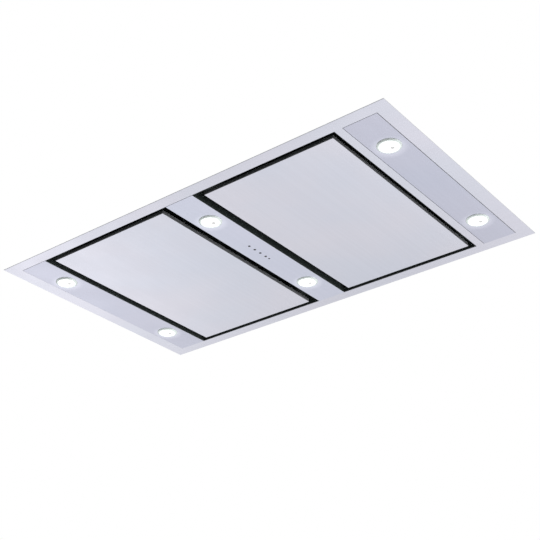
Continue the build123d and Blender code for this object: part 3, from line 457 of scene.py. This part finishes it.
def object_place(tree, turn=0.0):
    """Object coordinates, turned about Z by an angle in degrees."""
    place = add(tree, "ShaderNodeTexCoord").outputs["Object"]
    turned = {"Vector": place, "Rotation": (0, 0, math.radians(turn))}
    return add(tree, "ShaderNodeMapping", turned).outputs[0]


def use_group(tree, group, **inputs):
    """The output sockets of a shared effect, placed in a material."""
    return add(tree, "ShaderNodeGroup", inputs, node_tree=group).outputs


def bumped(tree, height, depth, strength=1.0):
    """The socket of a normal that follows a height of so many metres."""
    inputs = {"Height": height, "Distance": depth, "Strength": strength}
    return add(tree, "ShaderNodeBump", inputs).outputs[0]


def surface(tree, inputs):
    """End a material with one shader that takes these inputs."""
    shader = add(tree, "ShaderNodeBsdfPrincipled", inputs)
    add(tree, "ShaderNodeOutputMaterial", {0: shader.outputs[0]})


def upright(tree):
    """The socket that is 1 on walls and 0 on level faces of the piece, whichever way it swings."""
    facing = add(tree, "ShaderNodeTexCoord").outputs["Normal"]
    return ramp(tree, height_of(tree, facing), *wall_range)


# %% [markdown]
# Round each lamp the photographed steel is a little brighter. The lens in this scene faces away from the
# sheet and can't light it, so the halo is painted, as a soft ring of emission on the strips. Each point
# of a strip is as bright as its distance to the nearest lamp says.

# %% Halo round the lamps
spill_glow = 0.11
spill_start = 27.0 * MM
spill_end = 47.0 * MM
spill_shift = Vector((-3.0 * MM, 5.0 * MM, 0.0))  # the halo sits a little to one side


def named(start):
    """The CAD pieces whose names start alike, in order."""
    return sorted(name for name in nodes if name.startswith(start))


def middle_of(node):
    """The middle of a CAD piece's box."""
    low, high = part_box(node)
    return (low + high) / 2


def lamp_spill(tree):
    """The colour socket of the halo that lies on the sheet round each lamp."""
    place = add(tree, "ShaderNodeTexCoord").outputs["Object"]
    nearest = spill_end
    for node in named("lamp_bezel"):
        inputs = {0: place, 1: middle_of(node) + spill_shift}
        away = add(tree, "ShaderNodeVectorMath", inputs, operation="DISTANCE").outputs["Value"]
        nearest = combine(tree, "MINIMUM", away, nearest)
    halo = ramp(tree, nearest, spill_start, spill_end, spill_glow, 0.0)
    return add(tree, "ShaderNodeCombineXYZ", {0: halo, 1: halo, 2: halo}).outputs[0]


print("lamps:", named("lamp_bezel"))

# %% [markdown]
# ## Finishes of the face
#
# Every sheet of the face is the same satin stainless steel, but the grain follows each blank's own long
# side: along the hood on the flange, across it on strips and panels. The colour shifts between a faintly
# lilac and a faintly blue grey in soft patches, as it does in the photograph. Streaks and patches also
# change the roughness, which is what makes metal look handled. Cut and folded edges are duller than the
# sheet, except on the flange, whose outer edge is smooth. The same recipe gives the liners, brackets and
# filter frames above the face, in a plainer grey.

# %% Brushed steel
grain_depth = 0.01 * MM
satin = 0.3
cut_edge = 0.34  # added to the roughness of cut and folded edges
rolled_edge = 0.0
wall_tone = shade(196, 198, 202)
streak_range = (0.35, 0.65)
streak_depth = 0.02
streak_dullness = 0.03
smudge_dullness = 0.04
tint_scale = 3.0
smudge_scale = 9.0


def brushed_steel(name, warm, cool, roughness, turn=0.0, edge=cut_edge, walls=None, lit=False):
    """Satin sheet with its grain along X, or turned by an angle. Its walls may have their own tone."""
    made, tree = new_material(name)
    place = object_place(tree, turn)
    lines = use_group(tree, grain, Vector=place)
    tint = use_group(tree, patches, Vector=place, Scale=tint_scale)[0]
    smudge = use_group(tree, patches, Vector=place, Scale=smudge_scale)[0]
    wall = upright(tree)
    colour = blend(tree, tint, warm, cool)
    if walls:
        colour = blend(tree, wall, colour, walls)
    darker = ramp(tree, lines["Streak"], *streak_range, 1 - streak_depth, 1.0)
    streaky = add(tree, "ShaderNodeVectorMath", {0: colour, "Scale": darker}, operation="SCALE")
    worn = combine(tree, "MULTIPLY", smudge, smudge_dullness)
    fine = combine(tree, "MULTIPLY", lines["Streak"], streak_dullness)
    folded = combine(tree, "MULTIPLY", wall, edge)
    inputs = {
        "Base Color": streaky.outputs[0],
        "Metallic": 1.0,
        "Roughness": combine(tree, "ADD", worn, fine, folded, roughness),
        "Normal": bumped(tree, lines["Height"], grain_depth),
    }
    # a lit sheet gets painted light: a soft halo of emission round each lamp
    if lit:
        inputs |= {"Emission Color": lamp_spill(tree), "Emission Strength": 1.0}
    surface(tree, inputs)
    return made


face_sheets = {  # warm and cool tone, turn of the grain, dullness of the edges, painted lamp halo
    "flange_steel": ((213, 212, 223), (209, 211, 222), 0.0, rolled_edge, False),
    "strip_steel": ((207, 209, 225), (203, 207, 222), 90.0, cut_edge, True),
    # the outer strips: the same steel in a darker tone, painted shade
    "light_strip_steel": ((195, 196, 211), (191, 194, 210), 90.0, cut_edge, True),
    "panel_steel": ((214, 213, 223), (208, 211, 223), 90.0, cut_edge, False),
}
finishes = {}
for name, (warm, cool, turn, edge, lit) in face_sheets.items():
    tones = (shade(*warm), shade(*cool))
    finishes[name] = brushed_steel(name.replace("_", " "), *tones, satin, turn, edge, wall_tone, lit)
finishes |= {
    "liner_steel": brushed_steel("liner steel", shade(192, 193, 197), shade(184, 188, 193), 0.34, 90),
    "bracket_steel": brushed_steel("bracket steel", shade(190, 192, 196), shade(180, 184, 190), 0.38),
    "filter_frame": brushed_steel("filter frame", shade(208, 210, 214), shade(198, 202, 208), 0.32),
}
print("sheet finishes:", list(finishes))

# %% [markdown]
# The linings of the gaps are powder coated black. The coat is matt with an orange-peel skin, and it must
# stay nearly black even beside lit steel. Buttons, wheel, collar and the other mouldings share the recipe,
# with a coarser or finer skin and another gloss.

# %% Plastics and coats
plastic_spread = 0.12


def moulded(name, dark, light, roughness, scale=900.0, depth=0.02 * MM):
    """Plastic or powder coat with a pebbled skin."""
    made, tree = new_material(name)
    skin = use_group(tree, pebble, Vector=object_place(tree), Scale=scale)
    inputs = {
        "Base Color": blend(tree, skin["Tone"], dark, light),
        "Roughness": scaled(tree, skin["Tone"], plastic_spread, roughness - plastic_spread / 2),
        "Normal": bumped(tree, skin["Height"], depth),
    }
    surface(tree, inputs)
    return made


finishes |= {
    "suction_black": moulded("suction black", shade(46, 53, 53), shade(52, 59, 57), 0.62, 1400.0),
    "hinge_steel": moulded("black hinge steel", shade(30, 33, 34), shade(38, 41, 41), 0.4, 1400.0),
    "magnet_housing": moulded("magnet housing", shade(30, 31, 33), shade(38, 39, 41), 0.55),
    "button_plastic": moulded("button plastic", shade(20, 20, 24), shade(28, 28, 33), 0.4, 2500.0),
    "eye_plastic": moulded("eye plastic", shade(40, 32, 40), shade(50, 40, 50), 0.15, 400.0, 0.002 * MM),
    "housing_plastic": moulded("housing plastic", shade(44, 45, 48), shade(54, 55, 58), 0.5),
    "switch_black": moulded("switch black", shade(28, 28, 30), shade(36, 36, 38), 0.45),
    "wheel_plastic": moulded("wheel plastic", shade(30, 31, 33), shade(40, 41, 43), 0.42),
    "collar_plastic": moulded("collar plastic", shade(34, 35, 37), shade(44, 45, 47), 0.46, 700.0),
    "flap_plastic": moulded("flap plastic", shade(52, 53, 55), shade(62, 63, 65), 0.5, 700.0),
    "mains_box_plastic": moulded("mains box plastic", shade(205, 206, 204), shade(216, 217, 214), 0.5),
    "capacitor_case": moulded("capacitor case", shade(214, 214, 208), shade(222, 222, 216), 0.25, 200.0),
    "terminal_plastic": moulded("terminal plastic", shade(220, 219, 210), shade(228, 227, 218), 0.4),
    "gland_plastic": moulded("gland plastic", shade(40, 41, 43), shade(50, 51, 53), 0.45),
}
print("finishes so far:", len(finishes))

# %% [markdown]
# ## Finishes of the case
#
# The galvanised sheet mixes the spangle's tones into its colour and roughness, and dust on top of it.
# Dust isn't metal, so it lowers Metallic and raises Roughness where it lies.

# %% Galvanised steel
seam_share = 0.35
dust_grey = shade(176, 172, 164)
dust_dullness = 0.4
dusty_metal = 0.2
zinc_dullness = (0.27, 0.42)
frost_dullness = 0.08
frost_relief = 0.3
zinc_depth = 0.03 * MM


def galvanised(name, dark, light, scale=75.0, dusty=0.35):
    """Zinc-coated sheet with spangle and settled dust."""
    made, tree = new_material(name)
    place = object_place(tree)
    zinc = use_group(tree, spangle, Vector=place, Scale=scale)
    facing = add(tree, "ShaderNodeNewGeometry").outputs["Normal"]
    upward = add(tree, "ShaderNodeSeparateXYZ", {0: facing}).outputs["Z"]
    settled = use_group(tree, dust, Vector=place, Upward=upward)[0]
    lies = combine(tree, "MULTIPLY", settled, dusty)
    colour = blend(tree, zinc["Tone"], dark, light)
    seams = spread(tree, zinc["Border"], 0.0, 1.0, 0.0, seam_share)
    colour = blend(tree, seams, colour, dark)
    dull = spread(tree, zinc["Tone"], 0.0, 1.0, *zinc_dullness)
    dull = scaled(tree, zinc["Frost"], frost_dullness, dull)
    relief = scaled(tree, zinc["Frost"], frost_relief, zinc["Tone"])
    inputs = {
        "Base Color": blend(tree, lies, colour, dust_grey),
        "Metallic": spread(tree, lies, 0.0, 1.0, 1.0, dusty_metal),
        "Roughness": scaled(tree, lies, dust_dullness, dull),
        "Normal": bumped(tree, relief, zinc_depth, 0.8),
    }
    surface(tree, inputs)
    return made


finishes |= {
    "case_steel": galvanised("case steel", shade(172, 176, 181), shade(206, 209, 213)),
    "scroll_steel": galvanised("scroll steel", shade(168, 172, 177), shade(200, 203, 207), 90.0, 0.1),
}
print("finishes so far:", len(finishes))

# %% [markdown]
# Small metal parts are turned, cast or plated. They share one recipe: a metal with fine mottling, whose
# coarseness and gloss change from part to part.

# %% Small metal parts
metal_spread = 0.14


def plain_metal(name, dark, light, roughness, scale=400.0, depth=0.01 * MM):
    """Turned, cast or plated metal."""
    made, tree = new_material(name)
    skin = use_group(tree, pebble, Vector=object_place(tree), Scale=scale)
    inputs = {
        "Base Color": blend(tree, skin["Height"], dark, light),
        "Metallic": 1.0,
        "Roughness": scaled(tree, skin["Tone"], metal_spread, roughness - metal_spread / 2),
        "Normal": bumped(tree, skin["Height"], depth),
    }
    surface(tree, inputs)
    return made


cast_skin = 0.06 * MM
finishes |= {
    "pin_steel": plain_metal("pin steel", shade(200, 200, 203), shade(216, 216, 219), 0.18),
    "heat_sink": plain_metal("heat sink", shade(150, 152, 156), shade(166, 168, 172), 0.45, 700.0),
    "screw_zinc": plain_metal("screw zinc", shade(196, 194, 182), shade(212, 210, 200), 0.25, 900.0),
    "motor_metal": plain_metal(
        "motor metal", shade(138, 140, 145), shade(168, 170, 175), 0.5, 350.0, cast_skin
    ),
    "filter_mesh": plain_metal("filter mesh", shade(196, 198, 201), shade(216, 218, 221), 0.22, 300.0),
}
print("finishes so far:", len(finishes))

# %% [markdown]
# A lamp's ring is taken to be blasted and lacquered, so it is less of a mirror than the sheets. Its crown
# catches the lens's light and shines almost as brightly as the lens, and the flank gets only what comes
# through the lacquer. Both glows are painted as emission, as a stand-in for the lens's light. The
# distance from the lamp's axis tells crown and flank apart, so each ring has a finish of its own, made
# when the ring is dressed.

# %% Lamp ring
crown_edge = 24.0 * MM
crown_fade = (-1.0 * MM, 1.5 * MM)  # where the glow starts and stops falling, from the crown's edge
crown_glow = 0.8
flank_glow = 0.2
lacquer_dullness = (0.32, 0.42)


def axis_distance(tree, place, axis):
    """The socket of the distance from an upright axis."""
    moved = add(tree, "ShaderNodeMapping", {"Vector": place, "Location": -axis}).outputs[0]
    level = add(tree, "ShaderNodeVectorMath", {0: moved, 1: (1, 1, 0)}, operation="MULTIPLY")
    return add(tree, "ShaderNodeVectorMath", {0: level.outputs[0]}, operation="LENGTH").outputs["Value"]


def lamp_ring(name, axis):
    """Lacquered metal round an upright axis, lit at its crown."""
    made, tree = new_material(name)
    place = add(tree, "ShaderNodeTexCoord").outputs["Object"]
    skin = use_group(tree, pebble, Vector=place, Scale=900.0)
    colour = blend(tree, skin["Height"], shade(206, 214, 212), shade(216, 223, 221))
    start, end = (crown_edge + step for step in crown_fade)
    level = ramp(tree, axis_distance(tree, place, axis), start, end, crown_glow, flank_glow)
    shine = add(tree, "ShaderNodeVectorMath", {0: colour, "Scale": level}, operation="SCALE")
    inputs = {
        "Base Color": colour,
        "Metallic": 0.4,
        "Roughness": ramp(tree, skin["Tone"], 0.0, 1.0, *lacquer_dullness),
        "Emission Color": shine.outputs[0],
        "Emission Strength": 1.0,
    }
    surface(tree, inputs)
    return made


print("rings shine inside", round(crown_edge / MM, 1), "mm from their axis")

# %% [markdown]
# The control board is green lacquer over copper. Its tracks show as slightly lighter, straight-edged
# patches, which a Brick texture gives at the right scale.

# %% Circuit board
board, tree = new_material("board green")
inputs = {
    "Vector": object_place(tree),
    "Color1": shade(30, 92, 52),
    "Color2": shade(38, 108, 62),
    "Mortar": shade(22, 74, 42),
    "Scale": 60.0,
    "Mortar Size": 0.03,
}
tracks = add(tree, "ShaderNodeTexBrick", inputs).outputs["Color"]
surface(tree, {"Base Color": tracks, "Roughness": 0.35})
finishes["board_green"] = board
print("finishes so far:", len(finishes))

# %% [markdown]
# ## Lit lenses
#
# The lamps are on. A frosted lens lit from behind looks like an even white disc, so its material shines
# by itself, brighter than white. In the photograph each disc has a faint grey spot beside its middle. It
# is taken for the mark where the plastic entered the mould. A Mapping node moves the pattern's middle to
# each lamp's own mark, so each lens has a finish of its own, made when the lens is turned.

# %% Frosted lens
lens_glow = 1.25
mark_glow = 0.4
mark_radius = 4.6 * MM
mark_fade = (0.6 * mark_radius, 1.6 * mark_radius)
frost_depth = 0.03 * MM
uneven_range = (0.3, 0.7)
uneven_glow = (0.94, 1.0)


def frosted_lens(name, mark):
    """Frosted plastic lit from behind, with a duller spot round the mark's place."""
    made, tree = new_material(name)
    place = add(tree, "ShaderNodeTexCoord").outputs["Object"]
    skin = use_group(tree, pebble, Vector=place, Scale=500.0)
    away = axis_distance(tree, place, mark)
    bright = ramp(tree, away, *mark_fade)
    level = ramp(tree, bright, 0.0, 1.0, mark_glow / lens_glow, 1.0)
    uneven = ramp(tree, skin["Tone"], *uneven_range, *uneven_glow)
    level = combine(tree, "MULTIPLY", level, uneven)
    shine = add(tree, "ShaderNodeCombineXYZ", {0: level, 1: level, 2: level})
    inputs = {
        "Base Color": shade(140, 140, 140),
        "Roughness": 0.4,
        "Emission Color": shine.outputs[0],
        "Emission Strength": lens_glow,
        "Normal": bumped(tree, skin["Height"], frost_depth),
    }
    surface(tree, inputs)
    return made


print("lenses shine at", lens_glow, "and their marks at", mark_glow)

# %% [markdown]
# ## Dress the CAD pieces
#
# The record says which material slot each piece takes. Every finish is named after its slot, so one loop
# dresses the whole hood. The two outer strips are a little darker in the photograph than the middle one,
# so they get a darker copy of the same steel, painted shade, and each lamp ring gets its own finish. The
# lenses stay bare here, because turned ones replace them in the next step.

# %% Give each CAD piece its finish
for part in frame["record"]["subparts"]:
    piece = nodes[part["node"]]
    finish = finishes.get(part["material_slot"])
    # the outer strips take the darker copy of the strip steel, painted shade
    if piece.name.startswith("light_strip"):
        finish = finishes["light_strip_steel"]
    elif piece.name.startswith("lamp_bezel"):
        finish = lamp_ring(piece.name.replace("_", " "), middle_of(piece.name))
    if finish:
        for slot in piece.material_slots:
            slot.material = finish
print("dressed from", len(finishes), "finishes, and", len(named("lamp_bezel")), "rings in their own")

# %% [markdown]
# ## Turned lenses
#
# CAD gives the lens as a plain domed disc. Here it is turned again as a finer shape: a profile of a few
# points, from the middle of the dome out to a thin step at the rim, is spun round the lamp's axis. The
# mark is a second small turned button that sits on the dome.

# %% Turn the lenses
lens_turns = 56
dome_rise = 0.6 * MM
dome_steps = 5
rim_step = 0.3 * MM
rim_slope = 0.2 * MM
rim_width = 1.2 * MM
mark_shift = Vector((4.0 * MM, 7.0 * MM, 0.0))
mark_turns = 20
mark_edge = 0.1 * MM  # how far the button's edge lies above the lens's lowest point
mark_stand = 0.25 * MM
mark_root = 0.3 * MM
mark_flat = 0.6  # the share of its radius that is flat


def turned(mesh, profile, axis, turns):
    """Spin a profile of (radius, height) points round an upright axis, into an existing bmesh."""
    verts = [mesh.verts.new(axis + Vector((radius, 0, height))) for radius, height in profile]
    edges = [mesh.edges.new(pair) for pair in zip(verts, verts[1:])]
    bmesh.ops.spin(
        mesh,
        geom=verts + edges,
        cent=axis,
        axis=(0, 0, 1),
        angle=math.tau,
        steps=turns,
        use_merge=True,
    )


def finished_piece(name, mesh, body, material, smooth_angle):
    """An object at the origin from a bmesh, which rides on a body. Edges past the angle stay sharp."""
    bmesh.ops.remove_doubles(mesh, verts=mesh.verts, dist=0.001 * MM)
    bmesh.ops.recalc_face_normals(mesh, faces=mesh.faces)
    for face in mesh.faces:
        face.smooth = True
    for edge in mesh.edges:
        if len(edge.link_faces) == 2 and edge.calc_face_angle() > math.radians(smooth_angle):
            edge.smooth = False
    data = bpy.data.meshes.new(name)
    mesh.to_mesh(data)
    mesh.free()
    data.materials.append(material)
    made = bpy.data.objects.new(name, data)
    scene.collection.objects.link(made)
    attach(made, body)
    return made


for node in named("lamp_lens"):
    low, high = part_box(node)
    axis = middle_of(node)
    axis.z = 0.0
    radius = (high.x - low.x) / 2
    inner = radius - rim_width
    steps = [k / dome_steps for k in range(dome_steps + 1)]
    dome = [(inner * step, low.z + dome_rise * step**2) for step in steps]
    rim_z = low.z + dome_rise + rim_step
    rim = [(inner + rim_slope, rim_z), (radius, rim_z), (radius, high.z), (0.0, high.z)]
    mesh = bmesh.new()
    turned(mesh, dome + rim, axis, lens_turns)
    mark = axis + mark_shift
    edge_z = low.z + mark_edge
    face_z = edge_z - mark_stand
    face = [(0, face_z), (mark_flat * mark_radius, face_z), (mark_radius, edge_z)]
    root = [(mark_radius, edge_z + mark_root), (0, edge_z + mark_root)]
    turned(mesh, face + root, mark, mark_turns)
    name = node.replace("lamp_lens", "frosted_lens")
    finish = frosted_lens(name.replace("_", " "), mark)
    lens = finished_piece(name, mesh, "hood", finish, 25.0)
    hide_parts(node)
print("turned six lenses, radius", round(radius / MM, 2), "mm")

# %% [markdown]
# ## Grease filters
#
# A grease filter holds several layers of expanded aluminium: a sheet that is slit and pulled open, so
# that it becomes a net of diamonds whose strands rise and dip. CAD has a plain block in its place, which
# MuJoCo needs, and this piece replaces it for the eye.
#
# A grid is poked, which puts a raised vertex in the middle of each cell, and the grid's first edges are
# dissolved. What is left is a pattern of diamonds whose strands rise and dip as the real ones do. The
# wireframe operator gives every edge its width and thickness. A pleated pad fills the space behind the
# net.

# %% Stretch the filter nets
net_layers = [  # cell length and width, strand, height of the raised middles, place from the underside
    (15.0 * MM, 8.0 * MM, 1.3 * MM, 1.0 * MM, 1.0 * MM),
    (22.0 * MM, 12.0 * MM, 1.4 * MM, 0.9 * MM, 2.4 * MM),
]
pad_pleat = 9.0 * MM
pad_rise = 0.9 * MM
pad_sheet = 0.5 * MM
pad_depth = 1.6 * MM  # from the filter's upper face to the pad's middle


def net_layer(low, high, cell_x, cell_y, strand, rise, above):
    """One layer of expanded metal between two corners, as a bmesh."""
    size = high - low
    columns = round(size.x / cell_x)
    rows = round(size.y / cell_y)
    net = bmesh.new()
    bmesh.ops.create_grid(net, x_segments=columns, y_segments=rows, size=0.5)
    bmesh.ops.scale(net, verts=net.verts, vec=(size.x, size.y, 1.0))
    first_edges = [edge for edge in net.edges if not edge.is_boundary]
    bmesh.ops.poke(net, faces=net.faces, offset=rise)
    bmesh.ops.dissolve_edges(net, edges=first_edges)
    bmesh.ops.wireframe(
        net,
        faces=net.faces,
        thickness=strand,
        use_replace=True,
        use_boundary=True,
        use_even_offset=True,
    )
    middle = (low + high) / 2
    bmesh.ops.translate(net, verts=net.verts, vec=(middle.x, middle.y, low.z + above))
    return net


def pleated_pad(low, high):
    """A zigzag sheet behind the nets, as a bmesh."""
    size = high - low
    folds = 2 * round(size.x / pad_pleat)
    pad = bmesh.new()
    bmesh.ops.create_grid(pad, x_segments=folds, y_segments=1, size=0.5)
    bmesh.ops.scale(pad, verts=pad.verts, vec=(size.x, size.y, 1.0))
    middle = (low + high) / 2
    for vert in pad.verts:
        fold = round((vert.co.x / size.x + 0.5) * folds)
        vert.co.z = pad_rise if fold % 2 else -pad_rise
    bmesh.ops.solidify(pad, geom=pad.faces, thickness=pad_sheet)
    bmesh.ops.translate(pad, verts=pad.verts, vec=(middle.x, middle.y, high.z - pad_depth))
    return pad


def joined(pieces):
    """One bmesh from several, which are freed."""
    whole = bmesh.new()
    for piece in pieces:
        data = bpy.data.meshes.new("part of a whole")
        piece.to_mesh(data)
        piece.free()
        whole.from_mesh(data)
        bpy.data.meshes.remove(data)
    return whole


for side in ("left", "right"):
    low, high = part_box(f"filter_mesh_{side}")
    layers = [net_layer(low, high, *sizes) for sizes in net_layers]
    whole = joined([*layers, pleated_pad(low, high)])
    finish = finishes["filter_mesh"]
    net = finished_piece(f"grease_net_{side}", whole, f"filter_{side}", finish, 30.0)
    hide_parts(f"filter_mesh_{side}")
    net.data.calc_loop_triangles()
    print(net.name, "has", len(net.data.loop_triangles), "triangles")
